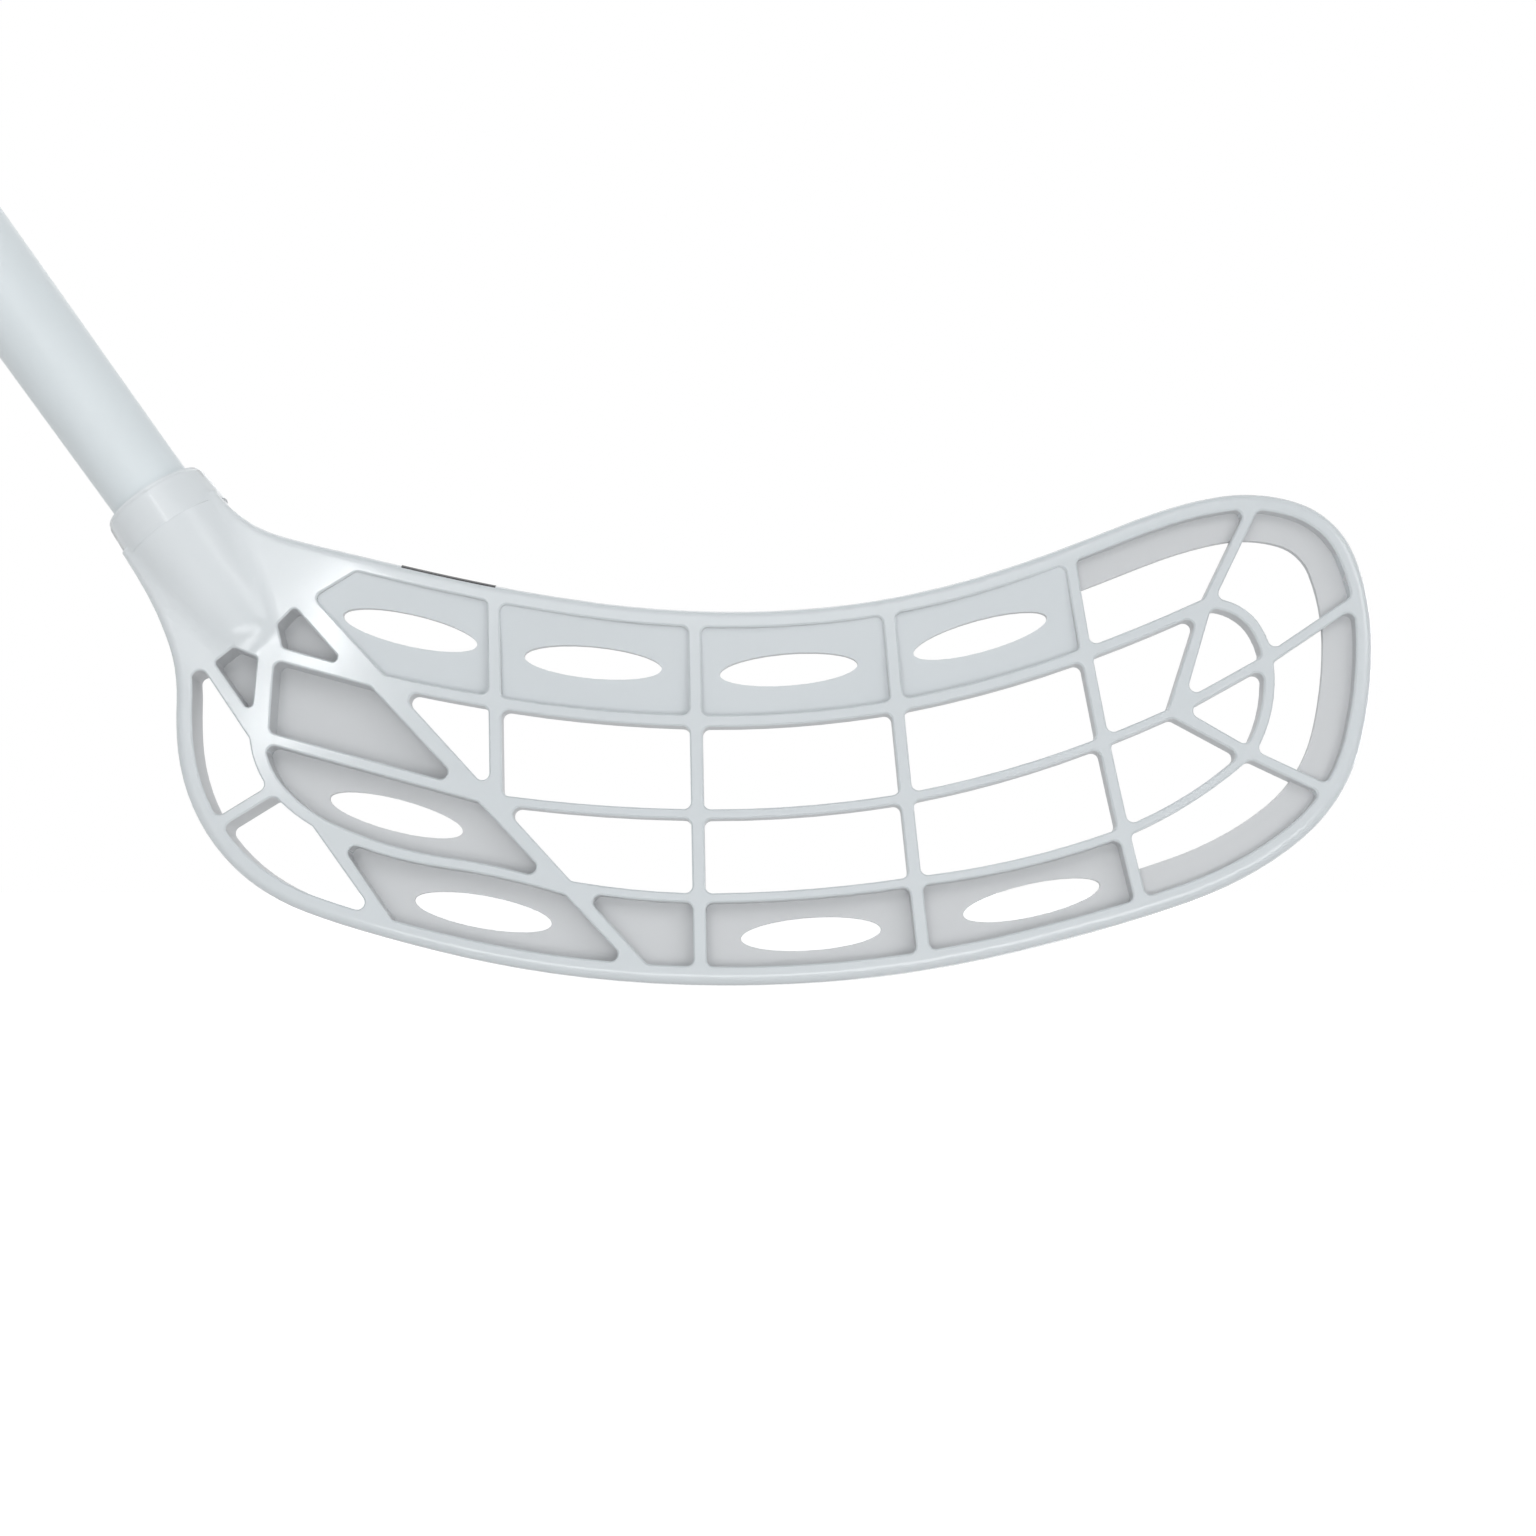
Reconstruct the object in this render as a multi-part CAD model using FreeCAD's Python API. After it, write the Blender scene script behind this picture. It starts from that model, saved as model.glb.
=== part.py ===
import FreeCAD
import Part
import math
import os
from FreeCAD import Vector

os.makedirs("parts", exist_ok=True)

# Floorball stick in its playing pose, in millimetres and degrees.
# X runs to the toe, Y away from the front of the blade, Z up. The origin is in the middle of the grip.
# The blade is drawn in its own frame: U runs to the toe, V up the face and W into the depth,
# with zero at the lowest point of the sole on the front of the blade.

# Playing pose
lie_angle = 54.3             # shaft above the floor
open_angle = 9.0             # face leaning back

# Blade body
heel_thickness = 10.0
toe_thickness = 8.0
hook_start = 30.0            # where the blade begins to curve towards the front, along U
hook_radius = 1200.0
toe_reach = 160.0            # end of the toe, along U
rim_width = 4.5
rim_round = 2.6              # front edge of the rim
back_bevel = 1.2             # back edge of the rim
corner_round = 1.8           # corners of the cells
pocket_round = 1.2           # corners of the two small pockets by the hosel
edge_bevel = 0.4             # front edges of the cells
web = 1.6                    # thickness of the thin panels
band_width = 7.2             # web left along the rim in the toe
slot_length = 35.0           # long slots in the panels
slot_width = 8.2

# Depths below the front of the blade
top_panel_depth = 2.2        # at the middle of the panel
top_panel_slope = 5.0        # deeper towards the sole
sole_panel_depth = 5.5
heel_panel_depth = 6.5
pocket_depth = 8.0
toe_band_depth = 3.4
field_depth = 5.0            # ribs away from the heel and the sole end here
field_margin = 0.4           # the shallow field cuts this far into the walls round it

# Rib widths
upright_width = 3.2
toe_upright_width = 2.9
upper_chord_width = 2.9
middle_chord_width = 2.4
lower_chord_width = 2.3
brace_top_width = 4.5
brace_sole_width = 3.0
heel_row_width = 2.8
heel_bow_top_width = 3.6
heel_bow_end_width = 2.2
toe_rib_width = 2.6
toe_hub_width = 3.3

# Hosel
mouth_u = -149.0             # middle of the mouth, from the lowest point of the sole
mouth_back = 25.0
mouth_height = 123.0
collar_mouth_radius = 13.9
collar_base_radius = 14.7
collar_length = 10.5
collar_round = 1.6
collar_overlap = 0.5         # the barrel runs up inside the collar
barrel_top_radius = 14.3     # at the foot of the collar
barrel_radius = 12.8         # at the nose
barrel_length = 51.0
barrel_lead = 0.3            # ahead of the collar's axis, so that the two are nearly flush in front
nose_round = 10.0
valley_round = 9.0
socket_depth = 43.0

# Screw through the back of the hosel, and its boss
screw_drop = 24.0            # below the mouth
screw_radius = 1.7
screw_length = 8.0
screw_head_radius = 3.4
screw_head_height = 2.2
screw_head_bevel = 0.9
screw_recess_width = 0.9
screw_recess_length = 3.6
screw_recess_depth = 1.2
boss_radius = 5.0
boss_rise = 0.9              # above the top of the barrel
screw_clearance = 0.05

# Shaft and the glue round its end
shaft_length = 960.0
shaft_low_radius = 10.75
shaft_radius = 12.25
taper_length = 185.0         # from the mouth of the hosel to full thickness
shaft_wall = 1.6
glue_gap = 0.4
glue_setback = 1.5           # glue ends this far inside the mouth

# Grip, finishing tape and end cap
grip_length = 310.0
grip_radius = 14.3
grip_neck_radius = 12.9      # thinned lower end, under the tape
grip_neck = 11.0
grip_shoulder = 3.0
grip_end_bevel = 0.8
tape_wall = 0.4
tape_tail = 12.0
cap_thickness = 4.0
cap_inset = 0.3
cap_bevel = 1.2
plug_length = 22.0
plug_clearance = 0.1

# Film on the top edge of the blade
film = 0.2
film_start = -84.0
film_end = -60.0
film_front = 0.7
film_back = 8.0

# Layout of the blade. Ahead of the lowest point of the sole it is stretched to the reach of the toe.
layout_reach = 160.0

# Outline from the hosel along the top, round the toe, back along the sole and up the heel
outline_points = [
    (-132.1, 126.0), (-124, 118.5), (-105, 111.8), (-64, 102.2), (-3, 94.7), (48, 99.8), (89, 112.7),
    (114, 121.7), (135, 123.9), (151.5, 116.8), (159.4, 100), (159.4, 72), (151, 46.6), (130.3, 28.1),
    (96, 14.9), (47, 3.6), (-2.5, 0), (-52, 4.2), (-92, 13.7), (-118, 24.6), (-133, 41), (-139.6, 62),
    (-141, 80), (-145, 91.5), (-150.5, 102), (-155.2, 109.4),
]

# Ribs: points on the centre line, width at its start, width at its end
hub = (111, 68)
ring_top = (120, 95.6)
ring_side = (134.4, 80.9)
ring_foot = (129, 57.2)
ribs = [
    ([(-60.6, 104), (-58.55, 46)], upright_width, upright_width),
    ([(-9.5, 98), (-7.2, -2)], upright_width, upright_width),
    ([(39.5, 100), (42.9, 58.3), (48.6, 0)], upright_width, upright_width),
    ([(85.2, 114), (91.7, 69.9), (102.6, 15)], toe_upright_width, toe_upright_width),
    ([(-91, 77.2), (-59.4, 70.9), (-8.8, 66.1), (41.9, 70), (89.5, 83.1), ring_top],
     upper_chord_width, upper_chord_width),
    ([(-58.6, 46.2), (-8.2, 42.5), (44, 46.6), (93.3, 60.6), hub],
     middle_chord_width, middle_chord_width),
    ([(-41.5, 24.9), (-7.7, 21.5), (46, 25.7), (98.1, 37.9), ring_foot],
     lower_chord_width, lower_chord_width),
    ([(-99.7, 87.5), (-19.4, 1.7)], brace_top_width, brace_sole_width),
    ([(-117, 62), (-61.5, 46.7)], heel_row_width, heel_row_width),
    ([(-119.2, 65), (-113.7, 49.2), (-100, 38.9), (-71, 30.4), (-39.8, 23.1)],
     heel_bow_top_width, heel_bow_end_width),
    ([(-114, 49), (-131, 38.2)], heel_row_width, heel_row_width),
    ([ring_top, (131.2, 90), ring_side, ring_foot], toe_rib_width, toe_rib_width),
    ([(134.2, 124), ring_top], toe_rib_width, toe_rib_width),
    ([(158.6, 97.1), ring_side], toe_rib_width, toe_rib_width),
    ([(151, 46), ring_foot], toe_rib_width, toe_rib_width),
    ([hub, ring_top], toe_hub_width, toe_rib_width),
    ([hub, ring_side], toe_rib_width, toe_rib_width),
    ([hub, ring_foot], toe_hub_width, toe_rib_width),
]

# Solid areas: the pad under the nose of the hosel, and the strut down to the sole beside the heel
pad_points = [
    (-88, 109.4), (-106.2, 98.1), (-86.4, 76.7), (-89.3, 74.6), (-115.4, 81.8), (-116, 61.5),
    (-119.3, 59.4), (-132.9, 79), (-160, 79), (-160, 135), (-120, 135),
]
strut_points = [(-105.3, 40.9), (-84, 12), (-80.9, 12), (-99.3, 38)]

# The heel and the sole keep the full depth of the blade
full_depth_points = [
    (-88.4, 140), (-88.4, 109.8), (-106.8, 98.1), (-87, 76.5), (-84.6, 73.2), (-40.7, 25.4), (14, 22.7),
    (70, 30.4), (99, 38.9), (103.9, 14), (103.9, -5), (-175, -5), (-175, 140),
]

# Pockets cut into the pad on both sides of the nose
pad_pockets = [
    [(-115, 91), (-110.8, 95.6), (-97, 80.2), (-113.4, 84.9)],
    [(-130.6, 81.2), (-125.7, 85), (-119.6, 82.6), (-120.5, 67.4)],
]

# A point inside each cell, by kind, and the tilt of the slot where the panel has one
open_cells = [
    (-68, 63.6), (-34, 56), (17, 55), (67, 64), (-29, 34), (18, 33), (71, 42), (-127, 58), (-106, 32),
    (103, 77), (108, 53), (123, 83), (126, 68),
]
deep_cells = [(-97, 66)]
toe_cells = [(106, 102), (138, 101), (144, 69), (120, 38)]
plain_sole_cells = [(-20, 14)]
top_panels = [((-81.6, 89.9), -12.9), ((-35, 81.5), -5.5), ((14.6, 79.7), 4.5), ((63.2, 88.3), 15.3)]
heel_panels = [((-84.6, 43.1), -14.8), ((-62.1, 18.6), -10.5)]
sole_panels = [((20.1, 13), 4.1), ((75.3, 21.4), 12.6)]

# Room for cutting tools beyond the blade
clear = 60.0
reach = 250.0
smooth = 0.97                # faces whose normals agree this well count as one surface
near = 0.02
straight = 0.000001          # a turn below this is a straight line


# Flat shapes on the front of the blade

def on_face(point):
    along, height = point
    if along > 0:
        along *= toe_reach / layout_reach
    return Vector(along, 0, height)


def curve_through(vectors):
    curve = Part.BSplineCurve()
    curve.interpolate(vectors)
    return curve


def polygon(points):
    corners = [on_face(point) for point in points]
    return Part.Face(Part.makePolygon(corners + corners[:1]))


def directions(points):
    vectors = [on_face(point) for point in points]
    curve = curve_through(vectors)
    return [curve.tangent(curve.parameter(vector))[0] for vector in vectors]


def shifted(points, distances):
    moved = []
    for point, along, distance in zip(points, directions(points), distances):
        moved.append(on_face(point) + Vector(along.z, 0, -along.x) * distance)
    return moved


# An arc that leaves its start along the given direction
def arc(start, along, end):
    chord = end - start
    across = along - chord * (along.dot(chord) / chord.dot(chord))
    if across.Length < straight:
        return Part.makeLine(start, end)
    half_turn = along.getAngle(chord) / 2
    middle = (start + end) / 2 + across.normalize() * (chord.Length / 2 * math.tan(half_turn))
    return Part.Arc(start, middle, end).toShape()


# A smooth row of arcs, two from each point to the next
def arcs_through(vectors, ways):
    edges = []
    for start, end, leaving, arriving in zip(vectors, vectors[1:], ways, ways[1:]):
        span = end - start
        turn = 2 * (1 - leaving.dot(arriving))
        pull = span.dot(leaving + arriving)
        if turn < straight:
            reach_out = span.dot(span) / (2 * pull)
        else:
            reach_out = (math.sqrt(pull ** 2 + turn * span.dot(span)) - pull) / turn
        joint = (start + end + (leaving - arriving) * reach_out) / 2
        edges.append(arc(start, leaving, joint))
        edges.append(arc(end, -arriving, joint))
    return edges


# A rib is straight through two points, one arc through three, and through more a row of arcs
def rib_side(row):
    if len(row) == 2:
        return [Part.makeLine(row[0], row[1])]
    if len(row) == 3:
        return [Part.Arc(*row).toShape()]
    curve = curve_through(row)
    stops = [curve.parameter(vector) for vector in row]
    middles = [curve.value((first + second) / 2) for first, second in zip(stops, stops[1:])]
    return [Part.Arc(*arc_points).toShape() for arc_points in zip(row, middles, row[1:])]


def strip(points, start_width, end_width):
    last = len(points) - 1
    widths = [start_width + (end_width - start_width) * step / last for step in range(last + 1)]
    sides = [shifted(points, [side * width for width in widths]) for side in (-0.5, 0.5)]
    edges = rib_side(sides[0]) + rib_side(sides[1])
    edges.append(Part.makeLine(sides[0][0], sides[1][0]))
    edges.append(Part.makeLine(sides[0][-1], sides[1][-1]))
    return Part.Face(Part.Wire(Part.__sortEdges__(edges)))


# The outline moved inwards, and the area that this encloses
def outline_at(distance):
    row = shifted(outline_points, [distance] * len(outline_points))
    edges = arcs_through(row, directions(outline_points))
    return Part.Wire(Part.__sortEdges__(edges))


def inside(distance):
    wire = outline_at(distance)
    ends = [vertex.Point for vertex in (wire.OrderedVertexes[0], wire.OrderedVertexes[-1])]
    return Part.Face(Part.Wire(wire.Edges + [Part.makeLine(ends[1], ends[0])]))


# Solids in the blade's own frame

def prism(face):
    return face.translated(Vector(0, -clear, 0)).extrude(Vector(0, 2 * clear, 0))


# The line that the blade follows at one depth, straight and then curving to the front
def depth_line(depth, radius):
    start = Vector(-reach, depth, 0)
    bend = Vector(hook_start, depth, 0)
    turn = math.asin((reach - hook_start) / radius)
    middle, end = [
        bend + Vector(radius * math.sin(turn * share), radius * (math.cos(turn * share) - 1), 0)
        for share in (0.5, 1.0)
    ]
    return [Part.makeLine(start, bend), Part.Arc(bend, middle, end).toShape()], start, end


def layer(front, front_radius, back, back_radius):
    front_edges, front_start, front_end = depth_line(front, front_radius)
    back_edges, back_start, back_end = depth_line(back, back_radius)
    closing = [Part.makeLine(front_start, back_start), Part.makeLine(front_end, back_end)]
    face = Part.Face(Part.Wire(Part.__sortEdges__(front_edges + closing + back_edges)))
    return face.translated(Vector(0, 0, -reach)).extrude(Vector(0, 0, 2 * reach))


# The space between two depths below the front of the blade
def between(front, back):
    return layer(front, hook_radius + front, back, hook_radius + back)


def ahead_of(depth):
    return between(-clear, depth)


def behind(depth):
    return between(depth, clear)


def front_at(u):
    past = max(u - hook_start, 0)
    return math.sqrt(hook_radius ** 2 - past ** 2) - hook_radius


def is_corner(shape, edge):
    sides = shape.ancestorsOfType(edge, Part.Face)
    spot = edge.valueAt((edge.FirstParameter + edge.LastParameter) / 2)
    normals = [side.normalAt(*side.Surface.parameter(spot)) for side in sides]
    return abs(normals[0].dot(normals[1])) < smooth


def cutter(face, radius):
    block = prism(face)
    corners = []
    for edge in block.Edges:
        upright = abs(edge.tangentAt(edge.FirstParameter).y) > smooth
        if upright and is_corner(block, edge):
            corners.append(edge)
    return block.makeFillet(radius, corners)


def slot_cutter(centre, tilt):
    ellipse = Part.Ellipse(Vector(0, 0, 0), slot_length / 2, slot_width / 2)
    face = Part.Face(Part.Wire(ellipse.toShape()))
    face.rotate(Vector(0, 0, 0), Vector(0, 0, 1), tilt)
    face.rotate(Vector(0, 0, 0), Vector(1, 0, 0), 90)
    face.translate(on_face(centre))
    return prism(face)


# Solids round the shaft, drawn upright with the mouth of the hosel at zero

def turned(profile):
    corners = [Vector(radius, 0, height) for radius, height in profile]
    face = Part.Face(Part.makePolygon(corners + corners[:1]))
    return face.revolve(Vector(0, 0, 0), Vector(0, 0, 1), 360)


def round_rim(shape, height, radius):
    edges = [edge for edge in shape.Edges
             if abs(edge.BoundBox.ZMin - height) < near and abs(edge.BoundBox.ZMax - height) < near]
    longest = max(edges, key=lambda edge: edge.Length)
    return shape.makeFillet(radius, [longest])


def rod(radius, front, back):
    return Part.makeCylinder(radius, back - front, Vector(0, front, -screw_drop), Vector(0, 1, 0))


# From the upright shaft into the playing pose, measured from the lowest point of the sole
def along_shaft(shape):
    laid = shape.copy()
    laid.rotate(Vector(0, 0, 0), Vector(0, 1, 0), lie_angle - 90)
    laid.translate(Vector(mouth_u, mouth_back, mouth_height))
    return laid


def leaned(shape, angle):
    turned_shape = shape.copy()
    turned_shape.rotate(Vector(0, 0, 0), Vector(1, 0, 0), angle)
    return turned_shape


def into_blade(shape):
    return leaned(along_shaft(shape), open_angle)


# Heights along the shaft that several pieces share
shaft_foot = -socket_depth
shaft_top = shaft_length - socket_depth
grip_foot = shaft_top - grip_length
grip_full = grip_foot + grip_neck + grip_shoulder
grip_end = shaft_top - grip_end_bevel
grip_middle = (grip_full + grip_end) / 2
socket_radius = shaft_low_radius + glue_gap
boss_top = barrel_top_radius + boss_rise


# The blade's plate, with its back edge bevelled

outline = outline_at(0)
outline_prism = prism(inside(0))


def rim_edges(shape, at_front):
    found = []
    for edge in shape.Edges:
        span = edge.LastParameter - edge.FirstParameter
        spots = [edge.valueAt(edge.FirstParameter + share * span) for share in (0, 0.5, 1)]
        runs_across = abs((spots[2] - spots[0]).y) > 0.9 * edge.Length
        flat_spots = [Part.Vertex(spot.x, 0, spot.z) for spot in spots]
        on_wall = max(outline.distToShape(spot)[0] for spot in flat_spots) < near
        in_front = spots[1].y - front_at(spots[1].x) < toe_thickness / 3
        if on_wall and not runs_across and in_front == at_front:
            found.append(edge)
    return found


toe_run = toe_reach - hook_start
back_drop = heel_thickness - toe_thickness - front_at(toe_reach)
back_radius = (toe_run ** 2 + back_drop ** 2) / (2 * back_drop)
plate = outline_prism.common(layer(0, hook_radius, heel_thickness, back_radius))
plate = plate.makeChamfer(back_bevel, rim_edges(plate, False))

# The hosel's barrel grows out of the plate, with a valley on each side of it at the front

barrel = turned([
    (0, 0), (collar_mouth_radius - collar_overlap, 0), (barrel_top_radius, -collar_length),
    (barrel_radius, -barrel_length), (0, -barrel_length),
])
barrel = round_rim(barrel, -barrel_length, nose_round).translated(Vector(0, -barrel_lead, 0))
barrel = into_blade(barrel)
neck_block = Part.makeBox(reach, heel_thickness / 2, reach, Vector(hook_start - reach, 0, 0))
neck = neck_block.fuse(barrel)
valleys = []
for edge in neck.Edges:
    kinds = [side.Surface.TypeId for side in neck.ancestorsOfType(edge, Part.Face)]
    middle = edge.valueAt((edge.FirstParameter + edge.LastParameter) / 2)
    if abs(middle.y) < near and kinds[0] != kinds[1]:
        valleys.append(edge)
neck = neck.makeFillet(valley_round, valleys)
body = plate.fuse(neck.common(outline_prism)).fuse(barrel).removeSplitter()
body = body.makeFillet(rim_round, rim_edges(body, True))
collar = turned([
    (0, 0), (collar_mouth_radius, 0), (collar_base_radius, -collar_length), (0, -collar_length),
])
boss = rod(boss_radius, 0, boss_top)
body = body.fuse([into_blade(round_rim(collar, 0, collar_round)), into_blade(boss)])

# Cells between the ribs

solid_areas = [strip(*rib) for rib in ribs] + [polygon(pad_points), polygon(strut_points)]
cells = inside(rim_width).cut(solid_areas)


def cell_at(point):
    found = [face for face in cells.Faces if face.isInside(on_face(point), near, True)]
    return cutter(found[0], corner_round)


tools = [cell_at(point) for point in open_cells]
deep = [cell_at(point) for point in deep_cells]
deep += [cutter(polygon(points), pocket_round) for points in pad_pockets]
for cell in deep:
    tools.append(cell.common(ahead_of(pocket_depth)))
sole_cells = [centre for centre, tilt in sole_panels] + plain_sole_cells
heel_cells = [centre for centre, tilt in heel_panels]
panels = (sole_cells, sole_panel_depth), (heel_cells, heel_panel_depth), (toe_cells, toe_band_depth)
for points, depth in panels:
    for point in points:
        cell = cell_at(point)
        tools.append(cell.common(ahead_of(depth)))
        tools.append(cell.common(behind(depth + web)))
for centre, tilt in top_panels:
    cell = cell_at(centre)
    for space in (ahead_of(top_panel_depth), behind(top_panel_depth + web)):
        space.rotate(Vector(0, top_panel_depth, centre[1]), Vector(1, 0, 0), top_panel_slope)
        tools.append(cell.common(space))
toe_opening = prism(inside(rim_width + band_width))
for point in toe_cells:
    tools.append(cell_at(point).common(toe_opening))
for centre, tilt in top_panels + heel_panels + sole_panels:
    tools.append(slot_cutter(centre, tilt))
field = inside(rim_width - field_margin).cut(polygon(full_depth_points))
tools.append(prism(field).common(behind(field_depth)))

# Socket for the shaft and hole for the screw

socket = turned([(0, 0), (socket_radius, 0), (socket_radius, shaft_foot), (0, shaft_foot)])
tools.append(into_blade(socket))
tools.append(into_blade(rod(screw_radius + screw_clearance, 0, 2 * boss_top)))
blade = body.cut(tools)

# Front edges of the cells

front_edges = []
for edge in blade.Edges:
    span = edge.LastParameter - edge.FirstParameter
    spots = [edge.valueAt(edge.FirstParameter + share * span) for share in (0, 0.25, 0.5, 0.75, 1)]
    if max(abs(spot.y - front_at(spot.x)) for spot in spots) < near and is_corner(blade, edge):
        front_edges.append(edge)
blade = blade.makeChamfer(edge_bevel, front_edges)

# Film on the top edge, over its rounded front corner

def film_room(front, back):
    corner = Vector(film_start, front, mouth_height / 2)
    return Part.makeBox(film_end - film_start, back - front, reach, corner)


grown = prism(inside(-film)).common(layer(-film, hook_radius - film, heel_thickness, back_radius))
grown = grown.common(film_room(-clear, clear)).Solids[0]
crest = max(grown.Edges, key=lambda edge: edge.CenterOfMass.z - edge.CenterOfMass.y)
edge_strip = grown.makeFillet(rim_round + film, [crest]).cut(body).common(film_room(film_front, film_back))

# Shaft, tapered at its lower end, with a pilot hole for the screw

shaft_profile = [
    (shaft_low_radius, shaft_foot), (shaft_low_radius, 0),
    (shaft_radius, taper_length), (shaft_radius, shaft_top),
]
bore_profile = [(radius - shaft_wall, height) for radius, height in shaft_profile]
pilot = rod(screw_radius + screw_clearance, 0, boss_top)
shaft = turned(shaft_profile + bore_profile[::-1]).cut(pilot)

# Glue between the shaft and the hosel

hosel_glue = turned([
    (shaft_low_radius, shaft_foot), (socket_radius, shaft_foot),
    (socket_radius, -glue_setback), (shaft_low_radius, -glue_setback),
]).cut(pilot)

# Screw with a cross recess

head_top = boss_top + screw_head_height
blade_screw = turned([
    (0, boss_top - screw_length), (screw_radius, boss_top - screw_length), (screw_radius, boss_top),
    (screw_head_radius, boss_top), (screw_head_radius, head_top - screw_head_bevel),
    (screw_head_radius - screw_head_bevel, head_top), (0, head_top),
])
blade_screw.rotate(Vector(0, 0, 0), Vector(1, 0, 0), -90)
blade_screw.translate(Vector(0, 0, -screw_drop))
recess = (screw_recess_width, screw_recess_length)
for width, length in (recess, recess[::-1]):
    corner = Vector(-width / 2, head_top - screw_recess_depth, -screw_drop - length / 2)
    blade_screw = blade_screw.cut(Part.makeBox(width, screw_recess_depth, length, corner))

# Grip, thinned at its lower end, with the finishing tape over that end and on down the shaft

neck_top = grip_foot + grip_neck
grip = turned([
    (shaft_radius, grip_foot), (grip_neck_radius, grip_foot), (grip_neck_radius, neck_top),
    (grip_radius, grip_full), (grip_radius, grip_end), (grip_radius - grip_end_bevel, shaft_top),
    (shaft_radius, shaft_top),
])
tape_radius = grip_neck_radius + tape_wall
tape_foot = grip_foot - tape_tail
grip_tape = turned([
    (shaft_radius, tape_foot), (tape_radius, tape_foot), (tape_radius, neck_top),
    (grip_neck_radius, neck_top), (grip_neck_radius, grip_foot), (shaft_radius, grip_foot),
])

# End cap with its plug in the bore of the shaft

cap_radius = grip_radius - cap_inset
cap_top = shaft_top + cap_thickness
plug_radius = shaft_radius - shaft_wall - plug_clearance
end_cap = turned([
    (0, shaft_top - plug_length), (plug_radius, shaft_top - plug_length), (plug_radius, shaft_top),
    (cap_radius, shaft_top), (cap_radius, cap_top - cap_bevel),
    (cap_radius - cap_bevel, cap_top), (0, cap_top),
])

# Every piece in the playing pose, with the origin in the middle of the grip

grip_centre = along_shaft(Part.Vertex(0, 0, grip_middle)).Point
pieces = {
    "blade": leaned(blade, -open_angle),
    "edge_strip": leaned(edge_strip, -open_angle),
    "shaft": along_shaft(shaft),
    "hosel_glue": along_shaft(hosel_glue),
    "blade_screw": along_shaft(blade_screw),
    "grip": along_shaft(grip),
    "grip_tape": along_shaft(grip_tape),
    "end_cap": along_shaft(end_cap),
}
for name, shape in pieces.items():
    placed = shape.Solids[0].translated(-grip_centre)
    placed.exportStep("parts/" + name + ".step")
    print(name, "solids", len(shape.Solids), "valid", placed.isValid(), "volume", round(placed.Volume))
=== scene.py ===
import math

import bpy
from mathutils import Matrix, Vector


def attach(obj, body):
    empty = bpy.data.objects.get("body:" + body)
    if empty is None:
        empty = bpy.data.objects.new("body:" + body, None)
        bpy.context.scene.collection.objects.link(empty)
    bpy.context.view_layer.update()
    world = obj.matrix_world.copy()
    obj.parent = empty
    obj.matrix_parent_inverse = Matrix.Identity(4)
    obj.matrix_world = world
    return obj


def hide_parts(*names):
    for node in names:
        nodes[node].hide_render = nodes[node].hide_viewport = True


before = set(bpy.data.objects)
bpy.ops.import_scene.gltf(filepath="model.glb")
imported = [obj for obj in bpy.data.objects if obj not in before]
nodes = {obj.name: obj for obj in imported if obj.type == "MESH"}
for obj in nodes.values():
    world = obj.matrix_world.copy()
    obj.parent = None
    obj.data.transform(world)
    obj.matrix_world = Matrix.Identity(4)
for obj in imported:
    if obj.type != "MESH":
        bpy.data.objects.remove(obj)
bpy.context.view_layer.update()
print("frame loaded with", len(nodes), "nodes")

# Pose of the stick, the same as in the CAD source. The origin is in the middle of the grip.
pose = {
    "lie": math.radians(54.3),                    # shaft above the floor
    "open": math.radians(9.0),                    # blade leaning back
    "sole": Vector((0.59751, -0.025, -0.74717)),  # lowest point of the sole, on the front of the blade
}


# Small helpers for operators

def deselectAll():
    bpy.ops.object.select_all(action="DESELECT")


def makeActive(piece):
    deselectAll()
    piece.select_set(True)
    bpy.context.view_layer.objects.active = piece


def applyPlace(piece):
    makeActive(piece)
    bpy.ops.object.transform_apply(location=True, rotation=True, scale=True)


def applyModifier(piece, kind, **settings):
    modifier = piece.modifiers.new(kind.lower(), kind)
    for name, value in settings.items():
        setattr(modifier, name, value)
    makeActive(piece)
    bpy.ops.object.modifier_apply(modifier=modifier.name)


def editMode(piece, selection):
    makeActive(piece)
    bpy.ops.object.mode_set(mode="EDIT")
    bpy.ops.mesh.select_all(action=selection)


def objectMode():
    bpy.ops.object.mode_set(mode="OBJECT")


# Small helpers for materials

textureSpan = (0.3, 0.7)                # tones and roughness run between these values of a texture
white = (1.0, 1.0, 1.0, 1.0)


def newMaterial(name):
    material = bpy.data.materials.new(name)
    material.use_nodes = True
    return material, material.node_tree, material.node_tree.nodes["Principled BSDF"]


def addNode(tree, kind, inputs=None, **settings):
    node = tree.nodes.new(kind)
    for name, value in settings.items():
        setattr(node, name, value)
    for name, value in (inputs or {}).items():
        node.inputs[name].default_value = value
    return node


def objectCoordinates(tree):
    return addNode(tree, "ShaderNodeTexCoord").outputs["Object"]


def attributeValue(tree, name):
    return addNode(tree, "ShaderNodeAttribute", attribute_name=name).outputs["Fac"]


def noiseFrom(tree, coordinates, scale, detail=2.0):
    noise = addNode(tree, "ShaderNodeTexNoise", {"Scale": scale, "Detail": detail})
    tree.links.new(coordinates, noise.inputs["Vector"])
    return noise.outputs["Fac"]


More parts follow.
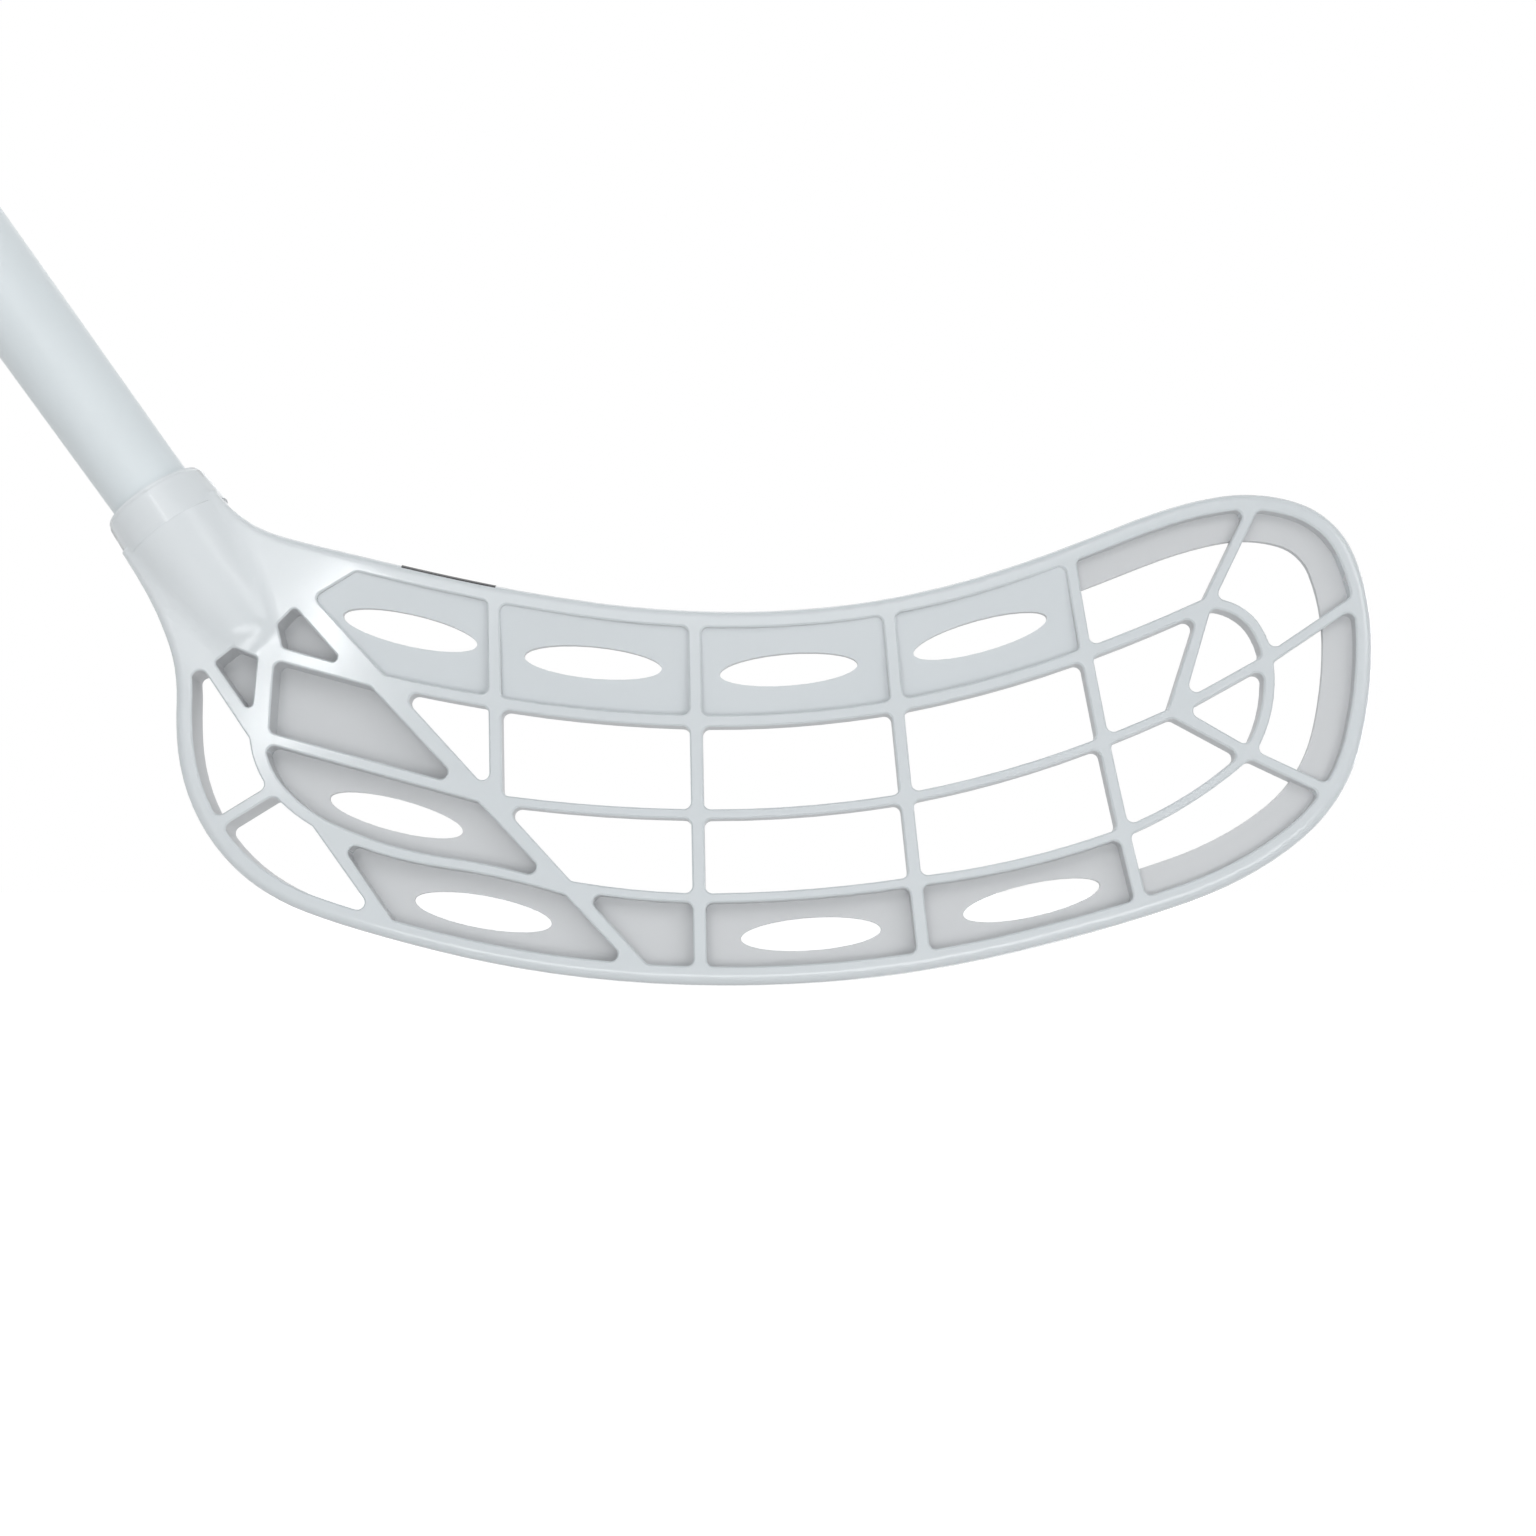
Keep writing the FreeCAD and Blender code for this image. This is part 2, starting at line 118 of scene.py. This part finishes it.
def colourBetween(tree, factor, first, second):
    ramp = addNode(tree, "ShaderNodeValToRGB")
    for element, position, colour in zip(ramp.color_ramp.elements, textureSpan, (first, second)):
        element.position = position
        element.color = (*colour, 1.0)
    tree.links.new(factor, ramp.inputs["Fac"])
    return ramp.outputs["Color"]


def valueBetween(tree, factor, low, high):
    start, end = textureSpan
    limits = {"From Min": start, "From Max": end, "To Min": low, "To Max": high}
    mapped = addNode(tree, "ShaderNodeMapRange", limits)
    tree.links.new(factor, mapped.inputs["Value"])
    return mapped.outputs["Result"]


def mixColours(tree, factor, first, second, blend="MIX"):
    mix = addNode(tree, "ShaderNodeMix", data_type="RGBA", blend_type=blend)
    sockets = (mix.inputs[0], mix.inputs[6], mix.inputs[7])     # the factor and the two colours
    for socket, value in zip(sockets, (factor, first, second)):
        if isinstance(value, (float, tuple)):
            socket.default_value = value
        else:
            tree.links.new(value, socket)
    return mix.outputs[2]


def bumpFrom(tree, height, strength, distance):
    bump = addNode(tree, "ShaderNodeBump", {"Strength": strength, "Distance": distance})
    tree.links.new(height, bump.inputs["Height"])
    return bump.outputs["Normal"]


# CAD nodes are shown through a merged, smoothly shaded copy

dressing = {
    "mergeDistance": 0.000002,
    "normalWeight": 60,
}


def dressNode(node, name, slot, material, sharpAngle):
    piece = bpy.data.objects.new(name, nodes[node].data.copy())
    bpy.context.scene.collection.objects.link(piece)
    editMode(piece, "SELECT")
    bpy.ops.mesh.customdata_custom_splitnormals_clear()
    bpy.ops.mesh.remove_doubles(threshold=dressing["mergeDistance"])
    objectMode()
    bpy.ops.object.shade_smooth_by_angle(angle=math.radians(sharpAngle))
    applyModifier(piece, "WEIGHTED_NORMAL", keep_sharp=True, weight=dressing["normalWeight"])
    piece.data.materials.clear()
    piece.data.materials.append(material)
    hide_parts(node)
    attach(piece, "root")
    return piece


# Blade: glossy, with a satin hosel and matt floors and walls in its cells; the hosel is painted paler as a
# sheen, and the floors and walls are painted darker as shade

bladeFinish = {
    "tones": ((0.672, 0.708, 0.730), (0.690, 0.724, 0.745)),
    "sunkShade": (0.626, 0.636, 0.648),      # painted shade: the floors of the deeper panels and the walls of the cells are painted darker
    "hoselSheen": (0.900, 0.925, 0.940),     # painted sheen: the satin hosel is painted paler
    "cloudScale": 14.0,
    "roughness": (0.11, 0.16),
    "sunkRoughness": 0.48,
    "coat": 0.25,
    "coatRoughness": 0.08,
    "grainScale": 2600.0,
    "grainHeight": 0.00001,
    "grainStrength": 0.15,
    "sharpAngle": 30,
    "hookStart": 0.030,                 # from here to the toe the blade curves to the front
    "hookRadius": 1.200,
    "floorFacing": 0.9,                 # a floor faces the front at least this squarely
    "floorSlope": 0.04,                 # the shallow panels along the top slope more than this
    "floorDepth": 0.0028,               # a deeper panel lies at least this far behind the front
    "wallFacing": 0.35,                 # a wall faces the front or the back less than this
    "wallDepth": 0.0005,                # and its middle lies at least this far behind the front
    "ribDepth": 0.0024,                 # every rib is deeper than this
    "cellReach": 0.058,                 # the widest cell
    "wallGap": 0.0001,                  # the search for the wall across starts just off the face
    "mouth": -0.7686,                   # along the shaft, from the middle of the grip
    "satinSheen": 0.36,
    "satinEnd": (0.030, 0.062),         # below the mouth the satin fades over these distances
    "satinReach": (0.0160, 0.0260),     # and over these from the shaft's axis
}


# A floor is parallel to the front and lies behind it. A wall faces another wall across its cell. Both get
# a matt finish and a darker colour as painted shade.
def markSunkFaces(piece):
    finish = bladeFinish
    turn = Matrix.Rotation(pose["open"], 3, "X")
    back = turn.transposed()
    marks = piece.data.attributes.new("sunkShade", "FLOAT", "FACE")
    for face, mark in zip(piece.data.polygons, marks.data):
        spot = turn @ (face.center - pose["sole"])
        facing = turn @ face.normal
        past = max(spot.x - finish["hookStart"], 0.0)
        hook = past * past / (2.0 * finish["hookRadius"])
        depth = spot.y + hook
        parallel = -facing.y > finish["floorFacing"] and abs(facing.z) < finish["floorSlope"]
        floor = parallel and depth > finish["floorDepth"]
        wall = abs(facing.y) < finish["wallFacing"] and depth > finish["wallDepth"]
        if wall:
            level = Vector((spot.x, finish["ribDepth"] - hook, spot.z))
            start = pose["sole"] + back @ level + face.normal * finish["wallGap"]
            wall = piece.ray_cast(start, face.normal, distance=finish["cellReach"])[0]
        mark.value = 1.0 if floor or wall else 0.0
    print("sunk faces", int(sum(mark.value for mark in marks.data)))


def fade(value, first, last):
    return 1.0 - min(max((value - first) / (last - first), 0.0), 1.0)


# The hosel is less glossy than the pad that it runs out into, and is painted paler there as a sheen
def markSatinHosel(piece):
    finish = bladeFinish
    axis = Vector((-math.cos(pose["lie"]), 0.0, math.sin(pose["lie"])))
    marks = piece.data.attributes.new("satinSheen", "FLOAT", "POINT")
    for vertex, mark in zip(piece.data.vertices, marks.data):
        along = vertex.co.dot(axis)
        away = (vertex.co - axis * along).length
        share = fade(finish["mouth"] - along, *finish["satinEnd"]) * fade(away, *finish["satinReach"])
        mark.value = finish["satinSheen"] * share


def makeBladePlastic():
    finish = bladeFinish
    material, tree, shader = newMaterial("bladePlastic")
    spot = objectCoordinates(tree)
    clouds = noiseFrom(tree, spot, finish["cloudScale"])
    sunkShade = attributeValue(tree, "sunkShade")
    satinSheen = attributeValue(tree, "satinSheen")
    tone = colourBetween(tree, clouds, *finish["tones"])
    # painted sheen: the hosel is mixed towards a paler colour; its roughness is raised as well
    tone = mixColours(tree, satinSheen, tone, (*finish["hoselSheen"], 1.0))
    # painted shade: floors and cell walls are mixed towards a darker colour
    tone = mixColours(tree, sunkShade, tone, (*finish["sunkShade"], 1.0))
    tree.links.new(tone, shader.inputs["Base Color"])
    dull = addNode(tree, "ShaderNodeMath", operation="MAXIMUM")
    tree.links.new(sunkShade, dull.inputs[0])
    tree.links.new(satinSheen, dull.inputs[1])
    gloss = valueBetween(tree, clouds, *finish["roughness"])
    rough = addNode(tree, "ShaderNodeMapRange", {"To Max": finish["sunkRoughness"]})
    tree.links.new(dull.outputs["Value"], rough.inputs["Value"])
    tree.links.new(gloss, rough.inputs["To Min"])
    tree.links.new(rough.outputs["Result"], shader.inputs["Roughness"])
    coat = addNode(tree, "ShaderNodeMapRange", {"To Min": finish["coat"], "To Max": 0.0})
    tree.links.new(dull.outputs["Value"], coat.inputs["Value"])
    tree.links.new(coat.outputs["Result"], shader.inputs["Coat Weight"])
    shader.inputs["Coat Roughness"].default_value = finish["coatRoughness"]
    grain = noiseFrom(tree, spot, finish["grainScale"])
    bump = bumpFrom(tree, grain, finish["grainStrength"], finish["grainHeight"])
    tree.links.new(bump, shader.inputs["Normal"])
    return material


blade = dressNode("blade", "bladeMoulding", "blade_plastic", makeBladePlastic(), bladeFinish["sharpAngle"])
markSunkFaces(blade)
markSatinHosel(blade)
print("blade dressed")

# Shaft

shaftFinish = {
    "tones": ((0.768, 0.818, 0.840), (0.790, 0.838, 0.858)),
    "cloudScale": 9.0,
    "roughness": (0.34, 0.42),
    "grainScale": 3200.0,
    "grainHeight": 0.000008,
    "grainStrength": 0.2,
    "sharpAngle": 40,
}


def makeShaftLacquer():
    finish = shaftFinish
    material, tree, shader = newMaterial("shaftLacquer")
    spot = objectCoordinates(tree)
    clouds = noiseFrom(tree, spot, finish["cloudScale"])
    tone = colourBetween(tree, clouds, *finish["tones"])
    tree.links.new(tone, shader.inputs["Base Color"])
    tree.links.new(valueBetween(tree, clouds, *finish["roughness"]), shader.inputs["Roughness"])
    grain = noiseFrom(tree, spot, finish["grainScale"])
    bump = bumpFrom(tree, grain, finish["grainStrength"], finish["grainHeight"])
    tree.links.new(bump, shader.inputs["Normal"])
    return material


dressNode("shaft", "shaftTube", "shaft_lacquer", makeShaftLacquer(), shaftFinish["sharpAngle"])
print("shaft dressed")

# Small pieces in plain finishes

filmFinish = {
    "tones": ((0.020, 0.021, 0.024), (0.012, 0.013, 0.016)),
    "roughness": (0.30, 0.42),
    "grainScale": 1800.0,
    "grainHeight": 0.000006,
    "metallic": 0.0,
}
glueFinish = {
    "tones": ((0.54, 0.50, 0.40), (0.62, 0.58, 0.46)),
    "roughness": (0.35, 0.55),
    "grainScale": 400.0,
    "grainHeight": 0.00004,
    "metallic": 0.0,
}
screwFinish = {
    "tones": ((0.50, 0.51, 0.53), (0.60, 0.61, 0.63)),
    "roughness": (0.22, 0.38),
    "grainScale": 2400.0,
    "grainHeight": 0.000006,
    "metallic": 1.0,
}
capFinish = {
    "tones": ((0.022, 0.024, 0.027), (0.030, 0.032, 0.036)),
    "roughness": (0.55, 0.72),
    "grainScale": 1500.0,
    "grainHeight": 0.00002,
    "metallic": 0.0,
}
plainLook = {
    "grainDetail": 3.0,
    "grainStrength": 0.4,
    "grainsPerCloud": 12.0,
    "sharpAngle": 40,
}


def makePlainFinish(name, finish):
    material, tree, shader = newMaterial(name)
    spot = objectCoordinates(tree)
    grain = noiseFrom(tree, spot, finish["grainScale"], plainLook["grainDetail"])
    clouds = noiseFrom(tree, spot, finish["grainScale"] / plainLook["grainsPerCloud"])
    tone = colourBetween(tree, clouds, *finish["tones"])
    tree.links.new(tone, shader.inputs["Base Color"])
    tree.links.new(valueBetween(tree, grain, *finish["roughness"]), shader.inputs["Roughness"])
    bump = bumpFrom(tree, grain, plainLook["grainStrength"], finish["grainHeight"])
    tree.links.new(bump, shader.inputs["Normal"])
    shader.inputs["Metallic"].default_value = finish["metallic"]
    return material


plainPieces = [
    # node, name of the piece, slot, material
    ("edge_strip", "edgeFilm", "dark_film", makePlainFinish("edgeFilm", filmFinish)),
    ("hosel_glue", "glueSleeve", "glue", makePlainFinish("curedGlue", glueFinish)),
    ("blade_screw", "screw", "screw_steel", makePlainFinish("screwSteel", screwFinish)),
    ("end_cap", "buttCap", "cap_rubber", makePlainFinish("capRubber", capFinish)),
]
for row in plainPieces:
    dressNode(*row, plainLook["sharpAngle"])
print("dressed", len(plainPieces), "small pieces")

# Grip: a soft perforated band wound up the shaft, each turn lapping the one below

gripWrap = {
    "foot": -0.1615,
    "top": 0.1483,
    "innerRadius": 0.01229,
    "lapRadius": 0.01370,               # where the next turn laps over
    "edgeRadius": 0.01424,              # the free lower edge
    "edgeRound": 0.0005,
    "roundSteps": 4,
    "pitch": 0.0232,
    "turnSteps": 80,
    "neckTop": 0.0110,                  # thinned end under the tape
    "neckRadius": 0.01288,
    "shoulder": 0.0030,
    "mergeDistance": 0.00001,
    "sharpAngle": 35,
    "tones": ((0.53, 0.57, 0.60), (0.60, 0.64, 0.67)),
    "cloudScale": 60.0,
    "roughness": (0.62, 0.74),
    "holesRound": 22,
    "holeSpacing": 0.00406,
    "holeRim": (0.12, 0.20),            # from the middle of a hole, in spacings
    # painted shade: the holes are painted darker than the band
    "holeShade": (0.45, 0.46, 0.48),
    "holeDepth": 0.0003,
    "holeStrength": 0.8,
}


def layAlongShaft(piece):
    piece.rotation_euler = (0.0, pose["lie"] - math.pi / 2, 0.0)
    applyPlace(piece)


def makeGripBand():
    wrap = gripWrap
    inner = wrap["innerRadius"]
    thickness = wrap["edgeRadius"] - inner
    deselectAll()
    bpy.ops.mesh.primitive_plane_add(size=1.0, rotation=(math.pi / 2, 0.0, 0.0))
    band = bpy.context.active_object
    band.name = "gripBand"
    band.scale = (thickness, wrap["pitch"], 1.0)
    band.location = (inner + thickness / 2, 0.0, 0.0)
    applyPlace(band)
    for vertex in band.data.vertices:               # the outer upper corner goes in under the next turn
        if vertex.co.x > inner + thickness / 2 and vertex.co.z > 0.0:
            vertex.co.x = wrap["lapRadius"]
    editMode(band, "DESELECT")
    bpy.ops.mesh.select_mode(type="VERT")
    objectMode()
    for vertex in band.data.vertices:               # the outer corners are rounded
        vertex.select = vertex.co.x > inner + thickness / 4
    makeActive(band)
    bpy.ops.object.mode_set(mode="EDIT")
    bpy.ops.mesh.bevel(offset=wrap["edgeRound"], segments=wrap["roundSteps"], affect="VERTICES")
    bpy.ops.mesh.select_all(action="SELECT")
    bpy.ops.mesh.delete(type="ONLY_FACE")
    objectMode()
    turns = math.ceil((wrap["top"] - wrap["foot"]) / wrap["pitch"]) + 2
    applyModifier(band, "SCREW", axis="Z", angle=2 * math.pi, screw_offset=wrap["pitch"], iterations=turns,
                  steps=wrap["turnSteps"], render_steps=wrap["turnSteps"], use_smooth_shade=True)
    band.location = (0.0, 0.0, wrap["foot"] - wrap["pitch"])
    applyPlace(band)
    for height, above in ((wrap["foot"], False), (wrap["top"], True)):
        editMode(band, "SELECT")
        bpy.ops.mesh.bisect(plane_co=(0.0, 0.0, height), plane_no=(0.0, 0.0, 1.0), use_fill=True,
                            clear_outer=above, clear_inner=not above)
        objectMode()
    for vertex in band.data.vertices:               # thinned end for the tape
        rise = vertex.co.z - wrap["foot"] - wrap["neckTop"]
        share = min(max(rise / wrap["shoulder"], 0.0), 1.0)
        room = wrap["neckRadius"] - inner + share * (wrap["edgeRadius"] - wrap["neckRadius"])
        radius = math.hypot(vertex.co.x, vertex.co.y)
        squeezed = inner + (radius - inner) * room / thickness
        vertex.co.x *= squeezed / radius
        vertex.co.y *= squeezed / radius
    editMode(band, "SELECT")
    bpy.ops.mesh.remove_doubles(threshold=wrap["mergeDistance"])
    bpy.ops.mesh.normals_make_consistent(inside=False)
    objectMode()
    layAlongShaft(band)
    bpy.ops.object.shade_smooth_by_angle(angle=math.radians(wrap["sharpAngle"]))
    return band


def shaftCoordinates(tree):
    turn = addNode(tree, "ShaderNodeMapping", {"Rotation": (0.0, math.pi / 2 - pose["lie"], 0.0)})
    tree.links.new(objectCoordinates(tree), turn.inputs["Vector"])
    return turn.outputs["Vector"]


# Distance round the shaft, height above the winding, and nothing: a flat map of the wound band
def woundCoordinates(tree, radius, pitch):
    split = addNode(tree, "ShaderNodeSeparateXYZ")
    tree.links.new(shaftCoordinates(tree), split.inputs["Vector"])
    angle = addNode(tree, "ShaderNodeMath", operation="ARCTAN2")
    tree.links.new(split.outputs["Y"], angle.inputs[0])
    tree.links.new(split.outputs["X"], angle.inputs[1])
    around = addNode(tree, "ShaderNodeMath", {1: radius}, operation="MULTIPLY")
    tree.links.new(angle.outputs["Value"], around.inputs[0])
    climb = addNode(tree, "ShaderNodeMath", {1: -pitch / (2 * math.pi)}, operation="MULTIPLY")
    tree.links.new(angle.outputs["Value"], climb.inputs[0])
    height = addNode(tree, "ShaderNodeMath", operation="ADD")
    tree.links.new(split.outputs["Z"], height.inputs[0])
    tree.links.new(climb.outputs["Value"], height.inputs[1])
    flat = addNode(tree, "ShaderNodeCombineXYZ")
    tree.links.new(around.outputs["Value"], flat.inputs["X"])
    tree.links.new(height.outputs["Value"], flat.inputs["Y"])
    return flat.outputs["Vector"]


def makeGripFoam():
    wrap = gripWrap
    material, tree, shader = newMaterial("gripFoam")
    flat = woundCoordinates(tree, wrap["holesRound"] * wrap["holeSpacing"] / (2 * math.pi), wrap["pitch"])
    holes = addNode(tree, "ShaderNodeTexVoronoi", {"Scale": 1.0 / wrap["holeSpacing"], "Randomness": 0.0})
    tree.links.new(flat, holes.inputs["Vector"])
    rimStart, rimEnd = wrap["holeRim"]
    rim = addNode(tree, "ShaderNodeMapRange", {"From Min": rimStart, "From Max": rimEnd})
    tree.links.new(holes.outputs["Distance"], rim.inputs["Value"])
    clouds = noiseFrom(tree, objectCoordinates(tree), wrap["cloudScale"])
    tone = colourBetween(tree, clouds, *wrap["tones"])
    # the holes get a darker colour as painted shade
    holeShade = colourBetween(tree, rim.outputs["Result"], wrap["holeShade"], white[:3])
    tree.links.new(mixColours(tree, 1.0, tone, holeShade, "MULTIPLY"), shader.inputs["Base Color"])
    tree.links.new(valueBetween(tree, clouds, *wrap["roughness"]), shader.inputs["Roughness"])
    bump = bumpFrom(tree, rim.outputs["Result"], wrap["holeStrength"], wrap["holeDepth"])
    tree.links.new(bump, shader.inputs["Normal"])
    return material


gripBand = makeGripBand()
gripBand.data.materials.append(makeGripFoam())
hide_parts("grip")
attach(gripBand, "root")
print("grip wound,", len(gripBand.data.polygons), "faces")

# Finishing tape

tapeFinish = {
    "tones": ((0.060, 0.065, 0.075), (0.085, 0.092, 0.102)),
    "roughness": (0.50, 0.66),
    "threadScale": 45.0,
    "threadWobble": 0.4,
    "threadHeight": 0.00006,
    "threadStrength": 0.5,
    "sharpAngle": 40,
}


def makeTapeWeave():
    finish = tapeFinish
    material, tree, shader = newMaterial("tapeWeave")
    weave = {"Scale": finish["threadScale"], "Distortion": finish["threadWobble"]}
    threads = addNode(tree, "ShaderNodeTexWave", weave, bands_direction="Z")
    tree.links.new(shaftCoordinates(tree), threads.inputs["Vector"])
    thread = threads.outputs["Fac"]
    tree.links.new(colourBetween(tree, thread, *finish["tones"]), shader.inputs["Base Color"])
    tree.links.new(valueBetween(tree, thread, *finish["roughness"]), shader.inputs["Roughness"])
    bump = bumpFrom(tree, thread, finish["threadStrength"], finish["threadHeight"])
    tree.links.new(bump, shader.inputs["Normal"])
    return material


dressNode("grip_tape", "gripTape", "finishing_tape", makeTapeWeave(), tapeFinish["sharpAngle"])
print("tape dressed")

# Camera at the photograph's place

photoView = {
    "fromSole": Vector((0.00935, -0.492, 0.0534)),
    "lens": 46.875,
    "sensor": 36.0,
    "clipStart": 0.01,
}
deselectAll()
bpy.ops.object.camera_add(location=pose["sole"] + photoView["fromSole"], rotation=(math.pi / 2, 0.0, 0.0))
camera = bpy.context.active_object
camera.data.lens = photoView["lens"]
camera.data.sensor_width = photoView["sensor"]
camera.data.clip_start = photoView["clipStart"]
bpy.context.scene.camera = camera
print("camera placed")

# Floor, lamps and pale surroundings

studio = {
    "floorDrop": 0.26,                  # the stick is held, so the floor lies below the blade
    "floorSize": 9.0,
    "floorTone": 0.55,
    "floorRoughness": 0.9,
    "floorGlow": 0.80,
    "skyLight": 0.42,
    "skyTint": (0.94, 0.98, 1.0),
    "aim": Vector((0.0, 0.01, 0.06)),
    "lamps": {
        # name: (place from the sole, width and height in metres, power in watts, tilt in degrees)
        "keyLamp": (Vector((-0.40, -1.62, 1.42)), (1.30, 1.30), 6.4, 0.0),
        "fillLamp": (Vector((-1.20, -1.30, 0.40)), (1.00, 1.00), 0.5, 0.0),
        "lowLamp": (Vector((0.08, -0.85, -0.09)), (0.90, 0.30), 2.5, 0.0),
        "rightLamp": (Vector((1.90, -2.00, 1.50)), (1.40, 1.40), 12.2, 0.0),
        "backLamp": (Vector((-0.90, 1.60, 1.50)), (2.40, 2.40), 12.0, 0.0),
        "rearLamp": (Vector((1.70, 1.10, 0.20)), (0.90, 0.90), 7.0, 0.0),
        "stripLamp": (Vector((-0.462, -1.437, 0.645)), (0.05, 0.24), 0.65, 22.0),
    },
}


# One for what the camera sees, straight, mirrored or through glass, and zero for light on the stick
def seenDirectly(tree):
    path = addNode(tree, "ShaderNodeLightPath")
    total = path.outputs["Is Camera Ray"]
    for name in ("Is Glossy Ray", "Is Transmission Ray"):
        either = addNode(tree, "ShaderNodeMath", operation="MAXIMUM")
        tree.links.new(total, either.inputs[0])
        tree.links.new(path.outputs[name], either.inputs[1])
        total = either.outputs["Value"]
    return total


def makeFloor():
    deselectAll()
    bpy.ops.mesh.primitive_plane_add(size=studio["floorSize"])
    floor = bpy.context.active_object
    floor.name = "floor"
    floor.location = (pose["sole"].x, 0.0, pose["sole"].z - studio["floorDrop"])
    applyPlace(floor)
    material, tree, shader = newMaterial("paleFloor")
    tone = studio["floorTone"]
    shader.inputs["Base Color"].default_value = (tone, tone, tone, 1.0)
    shader.inputs["Roughness"].default_value = studio["floorRoughness"]
    shader.inputs["Emission Color"].default_value = white
    glow = addNode(tree, "ShaderNodeMath", {1: studio["floorGlow"]}, operation="MULTIPLY")
    tree.links.new(seenDirectly(tree), glow.inputs[0])
    tree.links.new(glow.outputs["Value"], shader.inputs["Emission Strength"])
    floor.data.materials.append(material)


def makeWorld():
    world = bpy.data.worlds.new("paleRoom")
    world.use_nodes = True
    bpy.context.scene.world = world
    tree = world.node_tree
    background = tree.nodes["Background"]
    seen = seenDirectly(tree)
    tint = mixColours(tree, seen, (*studio["skyTint"], 1.0), white)
    tree.links.new(tint, background.inputs["Color"])
    strength = addNode(tree, "ShaderNodeMapRange", {"To Min": studio["skyLight"], "To Max": 1.0})
    tree.links.new(seen, strength.inputs["Value"])
    tree.links.new(strength.outputs["Result"], background.inputs["Strength"])


def makeLamps():
    aim = pose["sole"] + studio["aim"]
    for name, (place, (width, height), power, tilt) in studio["lamps"].items():
        deselectAll()
        bpy.ops.object.light_add(type="AREA", location=pose["sole"] + place)
        lamp = bpy.context.active_object
        lamp.name = name
        lamp.data.shape = "RECTANGLE"
        lamp.data.size = width
        lamp.data.size_y = height
        lamp.data.energy = power
        facing = (aim - lamp.location).to_track_quat("-Z", "Y").to_matrix()
        lamp.rotation_euler = (facing @ Matrix.Rotation(math.radians(-tilt), 3, "Z")).to_euler()


makeFloor()
makeWorld()
makeLamps()
bpy.context.scene.view_settings.view_transform = "Standard"
print("studio ready")
